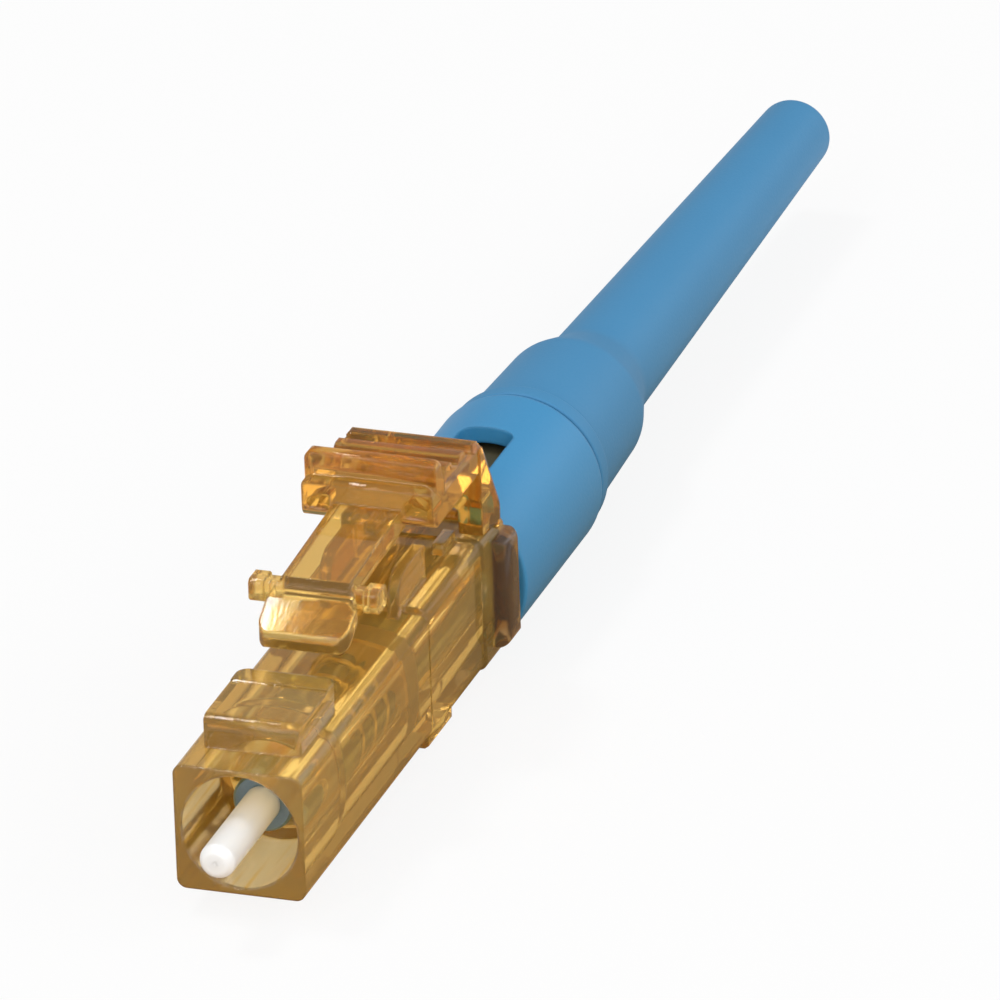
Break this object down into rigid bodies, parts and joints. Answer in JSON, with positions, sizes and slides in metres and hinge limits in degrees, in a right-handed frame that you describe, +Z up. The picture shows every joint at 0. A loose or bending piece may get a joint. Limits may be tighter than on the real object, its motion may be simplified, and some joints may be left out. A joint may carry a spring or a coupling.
{
  "type": "lc fibre connector",
  "caption": "Small square fibre-optic plug with a clear amber latch housing, a spring-loaded white ferrule, a mechanical splice and a tapered blue strain-relief boot.",
  "frame": {"origin": "centre of the front face of the square nose, on the axis of the ferrule", "axes": "+Y along the fibre towards the boot, +Z up through the latch, +X to the right seen from the front"},
  "size_m": [0.0062, 0.0611, 0.0105],
  "materials": {
    "amber_plastic": "clear, polished",
    "ferrule_ceramic": "polished",
    "fibre_glass": "polished",
    "carrier_metal": "plated",
    "splice_plastic": "satin",
    "cam_plastic": "satin",
    "spring_steel": "drawn",
    "retainer_plastic": "satin",
    "tube_plastic": "satin",
    "crimp_metal": "plated",
    "sleeve_plastic": "satin",
    "boot_rubber": "satin"
  },
  "bodies": {
    "shell": {"housing": "amber_plastic", "rear_sleeve": "sleeve_plastic", "boot": "boot_rubber", "spring_retainer": "retainer_plastic", "coil_spring": "spring_steel"},
    "lever": {"latch_lever": "amber_plastic"},
    "carrier": {"ferrule": "ferrule_ceramic", "fibre_stub": "fibre_glass", "ferrule_holder": "carrier_metal", "upper_splice_plate": "splice_plastic", "lower_splice_plate": "splice_plastic", "lead_in_tube": "tube_plastic", "crimp_tube": "crimp_metal"},
    "cam": {"cam_ring": "cam_plastic"}
  },
  "joints": [
    {"name": "latch_press", "type": "hinge", "parent": "shell", "child": "lever", "pos_m": [0, 0.01995, 0.0026], "axis": [1, 0, 0], "range_deg": [0, 5], "stiffness_Nm_per_rad": 0.25},
    {"name": "ferrule_slide", "type": "slide", "parent": "shell", "child": "carrier", "axis": [0, 1, 0], "range_m": [0, 0.0005], "stiffness_N_per_m": 2500, "deforming": ["coil_spring"]},
    {"name": "cam_turn", "type": "hinge", "parent": "carrier", "child": "cam", "pos_m": [0, 0.0249, 0], "axis": [0, 1, 0], "range_deg": [0, 90]}
  ]
}
